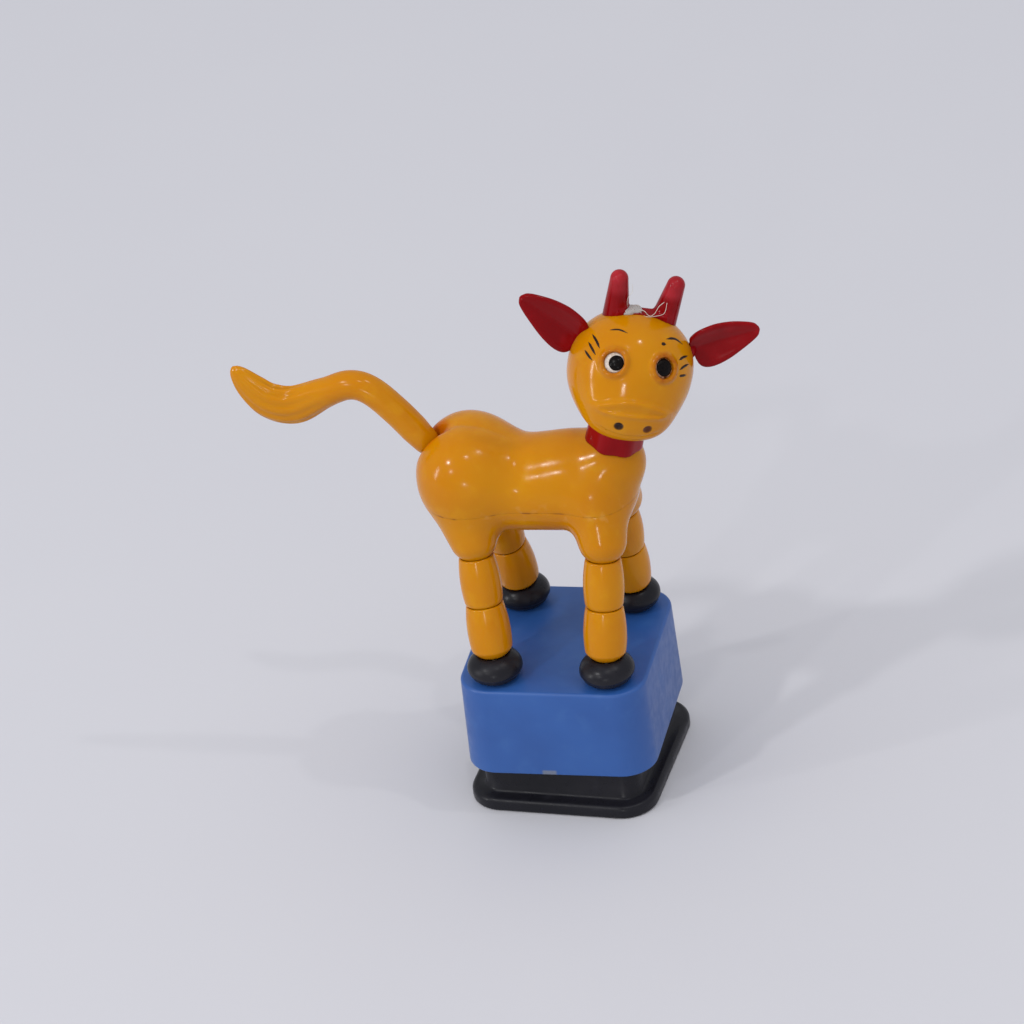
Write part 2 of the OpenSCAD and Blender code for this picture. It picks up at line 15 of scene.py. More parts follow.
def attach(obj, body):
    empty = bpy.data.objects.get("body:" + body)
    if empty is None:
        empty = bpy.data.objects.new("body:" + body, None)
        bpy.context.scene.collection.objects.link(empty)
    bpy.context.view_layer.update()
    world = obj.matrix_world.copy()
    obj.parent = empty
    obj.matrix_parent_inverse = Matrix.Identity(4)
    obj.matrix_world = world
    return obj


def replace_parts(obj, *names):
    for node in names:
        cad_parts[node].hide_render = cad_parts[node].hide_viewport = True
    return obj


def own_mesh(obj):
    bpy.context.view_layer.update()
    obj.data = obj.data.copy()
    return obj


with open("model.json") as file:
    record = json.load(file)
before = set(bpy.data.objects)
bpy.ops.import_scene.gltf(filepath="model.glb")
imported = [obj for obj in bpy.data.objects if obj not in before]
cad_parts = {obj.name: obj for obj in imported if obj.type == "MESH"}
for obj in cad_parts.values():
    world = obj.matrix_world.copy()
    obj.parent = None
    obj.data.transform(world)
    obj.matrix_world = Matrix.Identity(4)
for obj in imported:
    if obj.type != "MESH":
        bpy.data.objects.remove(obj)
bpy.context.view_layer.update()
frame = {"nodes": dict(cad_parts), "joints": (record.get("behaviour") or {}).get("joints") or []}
MM = 0.001

# Sizes of the base, the button and the strings, after the part's source
BASE_SIZE = 30
BASE_H = 15.4
BASE_LIFT = 7.8
BASE_TOP = BASE_LIFT + BASE_H
BASE_CORNER = 5.25
BASE_WALL = 1.5
BASE_ROOF = 2
CEILING = BASE_TOP - BASE_ROOF
FOOT_SIZE = 30.3
FOOT_CORNER = 5.45
FOOT_T = 2.2
BUTTON_TURN = -3.3
SKIRT_SIZE = 25.5
SKIRT_WALL = 0.9
SKIRT_TOP = 11.2
SHELF_T = 1.5
BOSS_R = 3.2
BOSS_H = 2.5
SPRING_R = 4
SPRING_WIRE = 0.8
SPRING_TURNS = 7
STRING_R = 0.35
HOLE_R = 0.9
KNOT_R = 0.9

# Sizes of the animal, after the part's source
LEGS = ("front_left", "front_right", "hind_left", "hind_right")
BALL_R = 3.8
JOINT_GAP = 0.15
LEG_PITCH = 8.2
LOWER_LEG_R = 3.4
UPPER_LEG_R = 3.2
HOOF_R = 4.35
HOOF_FLAT_R = 2.7
HOOF_H = 4.7
SEAM_Z = 51.9
CHEST_X = 7.8
RUMP_X = -11.3
RUMP_Z = 55.6
DOME_R = 5.8
NECK_LEAN = 17
COLLAR_R = 4.6
HEAD_R = 9.6
HEAD_TURN = 75
PARTING_X = -1.2

# Sizes of the ears and horns, some of them a little closer to the photo than in the part's source
EAR_W = 7.2
EAR_T = 1.2
EAR_Z = 4.2
HORN_LEN = 7.7
HORN_R = 2.15
HORN_TIP_R = 1.4
HORN_X = -3
HORN_Y = 3.7
HORN_LEAN = 6
BRIDGE_TOP = 9.85


def pivot(name):
    """Where a joint turns."""
    return np.array(next(j for j in frame["joints"] if j["name"] == name)["pos_m"]) / MM


def unit(v):
    return np.asarray(v, float) / np.linalg.norm(v)


def unit_rows(v):
    return v / np.linalg.norm(v, axis=-1)[:, None]


def turn(axis, degrees):
    return np.array(Matrix.Rotation(math.radians(degrees), 3, axis))


# Places that the joints give
NECK = turn("Y", NECK_LEAN)
DOME = pivot("neck_droop")
HEAD_AT = pivot("head_turn")
COLLAR_AT = DOME + math.sqrt(DOME_R**2 - COLLAR_R**2) * NECK[:, 2]
HEAD = NECK @ turn("Z", -HEAD_TURN)
TAIL_ROOT = pivot("tail_droop")


def ankle(leg):
    return pivot("ankle_" + leg)


def knee(leg):
    return pivot("knee_" + leg)


def hip(leg):
    return 2 * knee(leg) - ankle(leg)


def leg_dir(leg):
    return unit(knee(leg) - ankle(leg))


def hoof_at(leg):
    """Middle of a hoof's flat, on the box's top."""
    tip = pivot("hoof_tip_" + leg)
    return tip - [HOOF_FLAT_R, 0, 0]


# Colour and node helpers
def srgb(r, g, b):
    """An 8-bit screen colour as a linear one."""
    c = np.array([r, g, b]) / 255
    return (*np.where(c <= 0.04045, c / 12.92, ((c + 0.055) / 1.055) ** 2.4), 1)


class Finish:
    """A Principled material with its nodes within reach."""

    def __init__(self, name, slot=None, **sockets):
        self.slot = slot
        self.material = bpy.data.materials.new(name)
        self.material.use_nodes = True
        self.tree = self.material.node_tree
        self.shader = self.tree.nodes["Principled BSDF"]
        for key, value in sockets.items():
            self.shader.inputs[key.replace("_", " ")].default_value = value
        self.place = self.tree.nodes.new("ShaderNodeTexCoord").outputs["Object"]

    def node(self, kind, **inputs):
        n = self.tree.nodes.new(kind)
        for key, value in inputs.items():
            self.feed(n.inputs[key.replace("_", " ")], value)
        return n

    def feed(self, socket, value):
        if isinstance(value, bpy.types.NodeSocket):
            self.tree.links.new(value, socket)
        else:
            socket.default_value = value

    def noise(self, size, detail=3, stretch=(1, 1, 1)):
        """Soft noise with features of about that size."""
        scaled = self.node("ShaderNodeMapping", Vector=self.place, Scale=stretch).outputs[0]
        scale = 1 / (size * MM)
        return self.node("ShaderNodeTexNoise", Vector=scaled, Scale=scale, Detail=detail).outputs[0]

    def math(self, operation, a, b=0.0):
        n = self.tree.nodes.new("ShaderNodeMath")
        n.operation = operation
        self.feed(n.inputs[0], a)
        self.feed(n.inputs[1], b)
        return n.outputs[0]

    def times(self, a, b):
        return self.math("MULTIPLY", a, b)

    def span(self, value, low, high, to_low=0.0, to_high=1.0):
        """Maps a value smoothly from one span to another, and stops at its ends."""
        n = self.node("ShaderNodeMapRange", Value=value)
        n.interpolation_type = "SMOOTHSTEP"
        for key, number in zip(("From Min", "From Max", "To Min", "To Max"), (low, high, to_low, to_high)):
            n.inputs[key].default_value = number
        return n.outputs[0]

    def mix(self, share, a, b):
        n = self.tree.nodes.new("ShaderNodeMix")
        n.data_type = "RGBA"
        self.feed(n.inputs["Factor"], share)
        self.feed(n.inputs[6], a)
        self.feed(n.inputs[7], b)
        return n.outputs[2]

    def axis(self, letter):
        return self.node("ShaderNodeSeparateXYZ", Vector=self.place).outputs[letter]

    def against(self, operation, vector):
        """A number from the place and a fixed vector, such as their distance."""
        n = self.tree.nodes.new("ShaderNodeVectorMath")
        n.operation = operation
        self.feed(n.inputs[0], self.place)
        n.inputs[1].default_value = vector
        return n.outputs["Value"]

    def near(self, point, inner, outer):
        """A share that falls from one to nothing between two distances from a place."""
        distance = self.against("DISTANCE", np.asarray(point) * MM)
        return self.span(distance, inner * MM, outer * MM, 1, 0)

    def tint(self, share, colour):
        """Mixes another colour over what is there."""
        self.colour(self.mix(share, self.shader.inputs["Base Color"].links[0].from_socket, colour))

    def colour(self, value):
        self.feed(self.shader.inputs["Base Color"], value)

    def rough(self, value):
        self.feed(self.shader.inputs["Roughness"], value)

    def bump(self, height, strength, depth):
        n = self.node("ShaderNodeBump", Height=height, Strength=strength, Distance=depth * MM)
        self.feed(self.shader.inputs["Normal"], n.outputs[0])


# Finishes
YELLOW_TONES = srgb(193, 126, 1), srgb(188, 117, 0), srgb(199, 137, 6)
RED_TONES = srgb(138, 5, 13), srgb(120, 2, 7), srgb(154, 14, 24)
BLACK_TONES = srgb(29, 28, 34), srgb(23, 23, 28), srgb(38, 37, 43)
BLUE_TONES = srgb(43, 87, 155), srgb(39, 80, 146), srgb(52, 95, 158)
YELLOW_GLOSS = 0.13, 0.22
FACE_GLOSS = 0.11, 0.19
RED_GLOSS = 0.14, 0.24
BLACK_GLOSS = 0.26, 0.42
BLUE_GLOSS = 0.33, 0.46
YELLOW_GLOW = 0.12


def moulded(name, slot, tones, gloss, glow=0.0, shine=0.22):
    """Moulded plastic: cloudy colour, specks of wear, uneven polish and fine handling scratches."""
    colour, deep, pale = tones
    glow_spread, glow_depth = (1.0, 0.35, 0.08), 1.2
    f = Finish(name, slot, IOR=1.5, Specular_IOR_Level=shine)
    if glow:
        f.shader.inputs["Subsurface Weight"].default_value = glow
        f.shader.inputs["Subsurface Radius"].default_value = glow_spread
        f.shader.inputs["Subsurface Scale"].default_value = glow_depth * MM
    cloud = f.mix(f.span(f.noise(12), 0.3, 0.7), deep, colour)
    cloud = f.mix(f.span(f.noise(3.2, 4), 0.52, 0.78, 0, 0.55), cloud, pale)
    speck = f.span(f.noise(0.45, 2), 0.71, 0.78, 0, 0.35)
    f.colour(f.mix(speck, cloud, deep))
    f.rough(f.span(f.noise(1.6, 4), 0.3, 0.75, *gloss))
    scratch = f.noise(0.5, 2, (1, 1, 0.08))
    f.bump(f.math("ADD", scratch, f.noise(2.4, 2)), 0.25, 0.02)
    return f


def base_finish():
    """The base's blue, with a worn patch at the front of its lower edge."""
    f = moulded("blue_base_skin", "blue_plastic", BLUE_TONES, BLUE_GLOSS, shine=0.45)
    nick_x, nick_half, nick_top = -1.2, 1.0, BASE_LIFT + 0.75
    ragged, fade_x, fade_z, cover = 0.3, 0.5, 0.3, 0.6
    off = f.math("ABSOLUTE", f.math("SUBTRACT", f.axis("X"), nick_x * MM))
    off = f.math("ADD", off, f.times(f.noise(0.5), ragged * MM))
    beside = f.span(off, nick_half * MM, (nick_half + fade_x) * MM, 1, 0)
    under = f.span(f.axis("Z"), nick_top * MM, (nick_top + fade_z) * MM, 1, 0)
    front = f.span(f.axis("Y"), -0.4 * BASE_SIZE * MM, -0.45 * BASE_SIZE * MM)
    nick = f.times(f.times(beside, under), front)
    f.tint(f.times(nick, cover), srgb(128, 128, 120))
    return f


def body_finish():
    """The body's yellow, with grime in the seam, rubbed places beside it and painted shade of a deeper
    orange in the tail's groove.
    """
    f = moulded("yellow_body_skin", "yellow_plastic", YELLOW_TONES, YELLOW_GLOSS, YELLOW_GLOW)
    off = f.math("ABSOLUTE", f.math("SUBTRACT", f.axis("Z"), SEAM_Z * MM))
    line = f.span(off, 0.05 * MM, 0.22 * MM, 1, 0)
    grime = f.times(line, f.span(f.noise(2.6, 5), 0.5, 0.68, 0.0, 0.7))
    beside = f.span(off, 0.4 * MM, 2.6 * MM, 1, 0)
    rubbed = f.times(beside, f.span(f.noise(1.7, 6), 0.55, 0.75, 0, 0.22))
    # Painted shade: a deeper orange round the tail's groove.
    socket = f.near(TAIL_ROOT + [0.5, 0, 1.5], 2.2, 4.4)
    f.tint(rubbed, srgb(206, 160, 96))
    f.tint(grime, srgb(120, 66, 14))
    f.tint(f.times(socket, 0.75), srgb(184, 82, 2))
    return f


def face_finish():
    """The head's yellow, with painted shade in brown round the eye sockets, and painted nostrils."""
    f = moulded("yellow_face_skin", "yellow_plastic", YELLOW_TONES, FACE_GLOSS, YELLOW_GLOW)
    # Painted shade: a patchy brown ring round each eye socket, stronger round the left eye.
    shade_patches = f.span(f.noise(1.3, 4), 0.35, 0.65, 0.45, 0.95)
    for side, depth in ((1, 0.95), (-1, 0.6)):
        ring = f.near(to_row(eye_dir(side) * HEAD_R), 1.75, 2.9)
        f.tint(f.times(f.times(ring, shade_patches), depth), srgb(146, 62, 4))
    for place, paint in zip(NOSTRILS, (srgb(84, 40, 12), srgb(34, 17, 9))):
        f.tint(f.near(to_row(place), NOSTRIL_R - 0.02, NOSTRIL_R + 0.16), paint)
    return f


def horn_finish():
    """The horns' red, with painted light: paler towards their ends, for the sky's reflection on them and
    the light coming through them.
    """
    f = moulded("red_horn_skin", "red_plastic", RED_TONES, RED_GLOSS, 0.15, 0.15)
    centre = HEAD_AT @ HEAD[:, 2]
    pale_from, pale_to = centre + 12.0, centre + 13.6
    # Painted light: the paler ends stand in for the sky's reflection and the light through the tips.
    height = f.against("DOT_PRODUCT", HEAD[:, 2])
    end = f.span(height, pale_from * MM, pale_to * MM, 0, 0.4)
    f.tint(f.times(end, f.span(f.noise(1.6), 0.3, 0.7, 0.6, 1)), srgb(186, 52, 62))
    return f


def string_finish():
    """Pale twisted nylon."""
    f = Finish("string_skin", "white_string", Roughness=0.5)
    f.colour(f.mix(f.noise(0.6), srgb(222, 219, 208), srgb(196, 192, 178)))
    strand = f.node("ShaderNodeTexWave", Vector=f.place, Scale=900.0, Distortion=1.0)
    f.bump(strand.outputs["Fac"], 0.5, 0.05)
    return f


def steel_finish():
    """Bright drawn wire with a little tarnish."""
    f = Finish("steel_skin", "spring_steel", Metallic=1.0)
    f.colour(f.mix(f.noise(1.5), srgb(196, 196, 198), srgb(160, 158, 154)))
    f.rough(f.span(f.noise(0.4), 0.3, 0.7, 0.22, 0.4))
    return f


def paint_finish(name, colour, other, rough, shine=0.25):
    """Hand paint, uneven in colour and polish."""
    f = Finish(name, Specular_IOR_Level=shine)
    f.colour(f.mix(f.span(f.noise(0.35, 3), 0.35, 0.65), colour, other))
    f.rough(f.span(f.noise(0.5), 0.3, 0.7, rough, rough + 0.12))
    return f


def resin_finish():
    """The cloudy, half clear drop over the string's knot."""
    f = Finish("knot_resin", IOR=1.45, Transmission_Weight=0.55)
    f.colour(f.mix(f.noise(0.5), srgb(238, 236, 232), srgb(214, 206, 196)))
    f.rough(f.span(f.noise(0.3), 0.3, 0.7, 0.25, 0.5))
    return f


YELLOW = moulded("yellow_skin", "yellow_plastic", YELLOW_TONES, YELLOW_GLOSS, YELLOW_GLOW)
BLACK = moulded("black_skin", "black_plastic", BLACK_TONES, BLACK_GLOSS)
RED = moulded("red_skin", "red_plastic", RED_TONES, RED_GLOSS, 0.1, 0.13)
STRING = string_finish()
STEEL = steel_finish()
EYE_WHITE = paint_finish("eye_white", srgb(214, 206, 196), srgb(188, 172, 158), 0.3)
# The left eye's disc: brown with pale patches, darker than the right one's white.
EYE_BROWN_WHITE = paint_finish("eye_brown_white", srgb(92, 42, 12), srgb(182, 140, 108), 0.3)
EYE_BLACK = paint_finish("eye_black", srgb(9, 7, 8), srgb(20, 14, 12), 0.2, 0.1)
BROWN = paint_finish("brown_paint", srgb(46, 25, 13), srgb(30, 18, 12), 0.3)


# Mesh makers
def make(name, points, faces, finish, body, sharp=None):
    """A smooth-shaded mesh from points in millimetres, with edges sharper than an angle kept crisp."""
    mesh = bpy.data.meshes.new(name)
    mesh.from_pydata((np.asarray(points, float) * MM).tolist(), [], [[int(i) for i in f] for f in faces])
    mesh.update()
    mesh.shade_smooth()
    if sharp:
        mesh.set_sharp_from_angle(angle=math.radians(sharp))
    mesh.materials.append(finish.material)
    obj = bpy.data.objects.new(name, mesh)
    bpy.context.scene.collection.objects.link(obj)
    if body:
        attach(obj, body)
    return obj


def skin(rings, closed=False):
    """Faces over a list of rings of equal count, with capped ends unless the last ring meets the first."""
    rings = np.asarray(rings, float)
    n, m = rings.shape[:2]
    steps = n if closed else n - 1
    faces = [(i * m + j, i * m + (j + 1) % m, (i + 1) % n * m + (j + 1) % m, (i + 1) % n * m + j)
             for i in range(steps) for j in range(m)]
    if not closed:
        faces += [tuple(range(m))[::-1], tuple(range((n - 1) * m, n * m))]
    return rings.reshape(-1, 3), faces


def spun(outline, sides=72):
    """Rings of an outline of (radius, height) turned about Z."""
    a = np.linspace(0, 2 * math.pi, sides, endpoint=False)
    ring = np.stack([np.cos(a), np.sin(a)], -1)
    return [np.column_stack([ring * r, np.full(sides, z)]) for r, z in outline]


def along(points, origin, direction):
    """Moves local points so that Z runs along a direction."""
    matrix = np.array(Vector(direction).to_track_quat("Z", "Y").to_matrix())
    return np.asarray(points, float) @ matrix.T + origin


def tube(path, radii, sides=12):
    """Rings of a round tube along a path."""
    path = np.asarray(path, float)
    radii = np.broadcast_to(radii, len(path))
    tangent = np.gradient(path, axis=0)
    side = np.cross(tangent[0], [0.3, 0.9, 0.2])
    a = np.linspace(0, 2 * math.pi, sides, endpoint=False)[:, None]
    rings = []
    for p, r, t in zip(path, radii, tangent):
        side = unit(side - np.dot(side, unit(t)) * unit(t))
        other = np.cross(unit(t), side)
        rings.append(p + r * (np.cos(a) * side + np.sin(a) * other))
    return rings


def curve_through(points, count):
    """A smooth path through points, evenly stepped between them."""
    p = np.asarray(points, float)
    p = np.vstack([2 * p[0] - p[1], p, 2 * p[-1] - p[-2]])
    out = []
    for s in np.linspace(0, len(p) - 3, count):
        i = min(int(s), len(p) - 4)
        t = s - i
        a, b, c, d = p[i:i + 4]
        second = t * t * (a - 2.5 * b + 2 * c - d / 2)
        third = t**3 * (1.5 * (b - c) + (d - a) / 2)
        out.append(b + t * (c - a) / 2 + second + third)
    return np.array(out)


# Solid shapes as distance fields
def soft_min(a, b, k):
    h = np.clip(0.5 + 0.5 * (b - a) / k, 0, 1)
    return b + (a - b) * h - k * h * (1 - h)


def soft_max(a, b, k):
    return -soft_min(-a, -b, k)


def ball(p, centre, r):
    return np.linalg.norm(p - centre, axis=-1) - r


def egg(p, centre, radii):
    q = (p - centre) / radii
    k = np.linalg.norm(q, axis=-1)
    return k * (k - 1) / np.maximum(np.linalg.norm(q / radii, axis=-1), 1e-9)


def boxy(p, centre, radii, power):
    """A squared-off egg."""
    q = p - centre
    k = (np.abs(q / radii) ** power).sum(-1) ** (1 / power)
    return np.linalg.norm(q, axis=-1) * (1 - 1 / np.maximum(k, 1e-6))


def limb(p, a, ra, b, rb):
    """Two balls and the cone that touches both."""
    a, b = np.asarray(a, float), np.asarray(b, float)
    length = np.linalg.norm(b - a)
    d = (b - a) / length
    q = p - a
    z = q @ d
    r = np.sqrt(np.maximum((q * q).sum(-1) - z * z, 0))
    sine = (ra - rb) / length
    cosine = math.sqrt(1 - sine * sine)
    t = np.clip((z - r * sine / cosine) / length, 0, 1)
    return np.hypot(r, z - t * length) - (ra + (rb - ra) * t)


def mirrored(p):
    """Points folded onto the left half, so that a shape there shows on both sides."""
    return np.column_stack([p[:, 0], np.abs(p[:, 1]), p[:, 2]])


def slope(field, p, h=0.01):
    return np.stack([(field(p + e) - field(p - e)) / (2 * h) for e in np.eye(3) * h], -1)


def settle(field, p, reach, rounds=5):
    """Moves points onto the field's surface."""
    for _ in range(rounds):
        g = slope(field, p)
        move = -field(p)[:, None] * g / np.maximum((g * g).sum(-1), 1e-3)[:, None]
        p = p + np.clip(move, -reach, reach)
    return p


def sculpt(field, low, high, step):
    """Points and four-sided faces of a field's surface, one point in each grid cell that it crosses."""
    axes = [np.arange(a, b + step, step) for a, b in zip(low, high)]
    grid = np.stack(np.meshgrid(*axes, indexing="ij"), -1)
    shape = grid.shape[:3]
    inside = (field(grid.reshape(-1, 3)) < 0).reshape(shape)
    full = sum(inside[i:shape[0] - 1 + i, j:shape[1] - 1 + j, k:shape[2] - 1 + k].astype(int)
               for i in (0, 1) for j in (0, 1) for k in (0, 1))
    crossed = (full > 0) & (full < 8)
    index = np.full(crossed.shape, -1)
    index[crossed] = np.arange(crossed.sum())
    points = settle(field, grid[:-1, :-1, :-1][crossed] + step / 2, step / 2)
    faces = [crossing_faces(inside, index, x) for x in range(3)]
    return points, np.vstack(faces)


def crossing_faces(inside, index, x):
    """A face round each grid edge along one axis that goes through the surface."""
    shape = inside.shape
    y, z = (x + 1) % 3, (x + 2) % 3
    first = np.take(inside, range(shape[x] - 1), x)
    edge = np.argwhere(first != np.take(inside, range(1, shape[x]), x))
    inner = (edge[:, (y, z)] > 0) & (edge[:, (y, z)] < np.array(shape)[[y, z]] - 1)
    edge = edge[inner.all(1)]
    outward = first[tuple(edge.T)]
    around = []
    for dy, dz in ((-1, -1), (0, -1), (0, 0), (-1, 0)):
        cell = edge.copy()
        cell[:, y] += dy
        cell[:, z] += dz
        around.append(index[tuple(cell.T)])
    quad = np.stack(around, 1)
    quad[~outward] = quad[~outward][:, ::-1]
    return quad


def keep_side(obj, point, normal, lip=0.03):
    """Cuts a piece with a plane, keeps what lies behind it, closes it and turns its edge in a little."""
    bm = bmesh.new()
    bm.from_mesh(obj.data)
    bmesh.ops.bisect_plane(bm, geom=bm.verts[:] + bm.edges[:] + bm.faces[:], dist=1e-7,
                           plane_co=Vector(point) * MM, plane_no=Vector(normal), clear_outer=True)
    rim = [e for e in bm.edges if e.is_boundary]
    flat = Vector(normal)
    shifts = {v: v.normal - v.normal.project(flat) for e in rim for v in e.verts}
    for v, shift in shifts.items():
        v.co -= shift.normalized() * lip * MM
    for e in rim:
        e.smooth = False
    bmesh.ops.edgenet_fill(bm, edges=rim)
    bm.to_mesh(obj.data)
    bm.free()


# Base box and push button
CENTRE_RING = 0.4, 0.2  # Size and corner of the small ring that closes a boss


def squared(size, corner, z, per_corner=14):
    """A ring round a square with round corners."""
    half = size / 2 - corner
    out = []
    for k, (sx, sy) in enumerate(((1, 1), (-1, 1), (-1, -1), (1, -1))):
        a = np.radians(90 * k + np.linspace(0, 90, per_corner))
        out.append(np.column_stack([sx * half + corner * np.cos(a), sy * half + corner * np.sin(a)]))
    ring = np.vstack(out)
    return np.column_stack([ring, np.full(len(ring), z)])


def rounding(size, corner, z, radius, start, end, steps=6):
    """Rings round a square's edge, from one angle of its section to another."""
    rings = []
    for a in np.radians(np.linspace(start, end, steps)):
        inset = radius * (1 - math.cos(a))
        rings.append(squared(size - 2 * inset, corner - inset, z + radius * math.sin(a)))
    return rings


def base_box():
    """A box with a slight draft, open underneath, and a boss for the spring under its top."""
    draft, edge, lip = 0.25, 0.55, 0.3
    top, bottom = BASE_SIZE - draft, BASE_SIZE + draft
    inner, inner_corner = BASE_SIZE - 2 * BASE_WALL, BASE_CORNER - BASE_WALL
    boss_end = CEILING - BOSS_H
    rings = [squared(*CENTRE_RING, boss_end)]
    rings += [squared(2 * BOSS_R, BOSS_R, z) for z in (boss_end, CEILING)]
    rings += [squared(inner, inner_corner, z) for z in (CEILING, BASE_LIFT + lip)]
    rings += [squared(inner + 2 * lip, inner_corner + lip, BASE_LIFT)]
    rings += rounding(bottom, BASE_CORNER, BASE_LIFT + lip, lip, -80, 0)
    rings += rounding(top, BASE_CORNER, BASE_TOP - edge, edge, 0, 90, 9)
    rings += [squared(top * s, BASE_CORNER * s, BASE_TOP) for s in (0.8, 0.5, 0.2, 0.02)]
    obj = make("base_box_shell", *skin(rings), base_finish(), "base", 50)
    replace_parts(obj, "base_box")


def push_button():
    """A square foot with a hollow skirt, a boss for the spring and a shelf for each leg's string."""
    under_edge, foot_edge, fillet, skirt_edge, skirt_corner = 0.5, 0.8, 0.4, 0.3, 3.0
    hollow, hollow_corner = SKIRT_SIZE - 2 * SKIRT_WALL, skirt_corner - SKIRT_WALL
    boss_end = FOOT_T + BOSS_H
    spin = turn("Z", BUTTON_TURN)
    rings = [squared(FOOT_SIZE * s, FOOT_CORNER * s, 0) for s in (0.02, 0.4, 0.8)]
    rings += rounding(FOOT_SIZE, FOOT_CORNER, under_edge, under_edge, -90, 0)
    rings += rounding(FOOT_SIZE, FOOT_CORNER, FOOT_T - foot_edge, foot_edge, 0, 90, 8)
    rings += [squared(SKIRT_SIZE + 2 * fillet, skirt_corner + fillet, FOOT_T)]
    rings += [squared(SKIRT_SIZE, skirt_corner, FOOT_T + fillet)]
    rings += rounding(SKIRT_SIZE, skirt_corner, SKIRT_TOP - skirt_edge, skirt_edge, 0, 90)
    rings += [squared(hollow, hollow_corner, z) for z in (SKIRT_TOP - 0.1, FOOT_T)]
    rings += [squared(2 * BOSS_R, BOSS_R, z) for z in (FOOT_T, boss_end)]
    rings += [squared(*CENTRE_RING, boss_end)]
    obj = make("push_button_foot", *skin(np.asarray(rings) @ spin.T), BLACK, "button", 50)
    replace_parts(obj, "push_button")
    for leg in LEGS:
        button_shelf(leg, spin)


def button_shelf(leg, spin):
    """A shelf in the skirt's corner, over the knot of a leg's string."""
    reach, corner, sink = 3.0, 0.12, 0.2
    place = hoof_at(leg)[:2]
    inner = place - np.copysign(reach, place)
    outer = np.copysign(SKIRT_SIZE / 2 - SKIRT_WALL / 2, place)
    size, middle = np.abs(outer - inner), (outer + inner) / 2
    rings = [squared(1, corner, z) * [*size, 1] + [*middle, 0]
             for z in (SKIRT_TOP - SHELF_T, SKIRT_TOP - sink)]
    make("button_shelf_" + leg, *skin(np.asarray(rings) @ spin.T), BLACK, "button", 40)


def coil_spring():
    """The spring's wire, which the button squashes against the box's top."""
    low, high = FOOT_T + SPRING_WIRE / 2, CEILING - SPRING_WIRE / 2
    s = np.linspace(0, 1, SPRING_TURNS * 36)
    a = 2 * math.pi * SPRING_TURNS * s
    path = np.column_stack([SPRING_R * np.cos(a), SPRING_R * np.sin(a), low + (high - low) * s])
    obj = make("coil_spring_wire", *skin(tube(path, SPRING_WIRE / 2, 10)), STEEL, "base")
    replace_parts(obj, "coil_spring")
    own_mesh(obj)


def base_strings():
    """The strings in the box, each with its knot under the button's shelf."""
    knot_top = SKIRT_TOP - SHELF_T
    top = BASE_TOP - 0.25
    for leg in LEGS:
        x, y = hoof_at(leg)[:2]
        path = [(x, y, z) for z in np.linspace(knot_top, top, 24)]
        obj = make("base_string_" + leg, *skin(tube(path, STRING_R, 10)), STRING, "base")
        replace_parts(obj, "base_strings")
        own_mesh(obj)
        string_knot(leg, np.array([x, y, knot_top - KNOT_R]))


def string_knot(leg, centre):
    """A lumpy knot."""
    lump, waves, room, step = 0.12, 4 * np.array([1, 0.6, 1.4]), 1.6, 0.2

    def field(p):
        return ball(p, centre, KNOT_R - 0.1) - lump * np.sin((p - centre) @ waves)

    mesh = sculpt(field, centre - room, centre + room, step)
    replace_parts(make("string_knot_" + leg, *mesh, STRING, "button"), "string_knots")


# Legs
def bead_outline(belly):
    """Closed outline of a leg bead: rounded lower end, barrel, rim, cup and string hole."""
    rim, low_share, high_share, gap = 0.3, 0.86, 0.88, 0.07
    cup_r = BALL_R + gap
    cup_z = LEG_PITCH + BALL_R
    crest = belly * high_share - rim
    top = cup_z - math.sqrt(cup_r**2 - crest**2)
    t = np.linspace(-1, 1, 49)
    barrel_r = belly * (1 - np.where(t < 0, 1 - low_share, 1 - high_share) * t * t)
    barrel_z = top / 2 + (top / 2 - rim * (t > 0)) * t
    a = np.linspace(math.asin(HOLE_R / BALL_R), math.pi / 2, 40)
    end_r, end_z = BALL_R * np.sin(a), BALL_R * (1 - np.cos(a))
    under = end_r < np.interp(end_z, barrel_z, barrel_r)
    end_r, end_z = end_r[under], end_z[under]
    above = barrel_z > end_z[-1] + 0.15
    b = np.linspace(0, math.pi / 2, 9)[1:]
    c = np.linspace(math.asin(crest / cup_r), math.asin(HOLE_R / cup_r), 16)[1:]
    r = np.concatenate([end_r, barrel_r[above], crest + rim * np.cos(b), cup_r * np.sin(c)])
    z = np.concatenate([end_z, barrel_z[above], top - rim * (1 - np.sin(b)), cup_z - cup_r * np.cos(c)])
    return np.column_stack([r, z])


def leg_beads(leg):
    direction = leg_dir(leg)
    for part, belly, centre in (("lower", LOWER_LEG_R, ankle(leg)), ("upper", UPPER_LEG_R, knee(leg))):
        points, faces = skin(spun(bead_outline(belly)), closed=True)
        points = along(points, centre - BALL_R * direction, direction)
        name = f"{part}_leg_{leg}"
        obj = make(name + "_bead", points, faces, YELLOW, f"{part}_{leg}", 50)
        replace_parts(obj, name)


def hoof(leg):
    """Oblate bead with a flat under it, a moulded line round its foot and a cup for the leg."""
    line_up, line_w, line_depth = 1.35, 0.28, 0.1
    cut = math.sqrt(1 - (HOOF_FLAT_R / HOOF_R) ** 2)
    half_h = HOOF_H / (1 + cut)
    foot = hoof_at(leg)
    centre = foot + [0, 0, half_h * cut]
    radii = np.array([HOOF_R, HOOF_R, half_h])

    def field(p):
        d = egg(p, centre, radii)
        d = d + line_depth * np.exp(-(((p[:, 2] - (foot[2] + line_up)) / line_w) ** 2))
        d = soft_max(d, foot[2] + 0.02 - p[:, 2], 0.3)
        d = soft_max(d, -ball(p, ankle(leg), BALL_R + JOINT_GAP), 0.3)
        return soft_max(d, HOLE_R - np.linalg.norm((p - foot)[:, :2], axis=-1), 0.1)

    mesh = sculpt(field, foot - [5, 5, 0.4], foot + [5, 5, HOOF_H + 0.6], 0.2)
    obj = make(f"hoof_{leg}_bead", *mesh, BLACK, "hoof_" + leg)
    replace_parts(obj, "hoof_" + leg)


